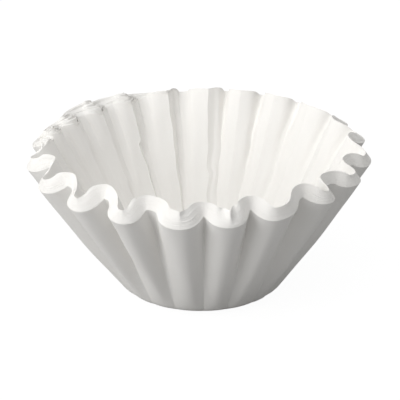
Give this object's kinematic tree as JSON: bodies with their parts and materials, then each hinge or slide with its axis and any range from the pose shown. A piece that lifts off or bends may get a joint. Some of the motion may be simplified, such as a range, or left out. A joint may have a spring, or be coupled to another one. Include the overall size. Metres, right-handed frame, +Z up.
{
  "type": "paper coffee filter",
  "caption": "Flat-bottomed fluted paper coffee filters, nested and pressed together into a round bowl with a scalloped, layered rim and a flat foot.",
  "frame": {"origin": "middle of the flat foot's underside", "axes": "+Z up towards the open rim, -Y towards the front of the pictured view, +X to its right"},
  "size_m": [0.1311, 0.131, 0.0597],
  "materials": {
    "paper": "matte white filter paper"
  },
  "bodies": {
    "root": {"filter_stack": "paper"}
  },
  "joints": []
}
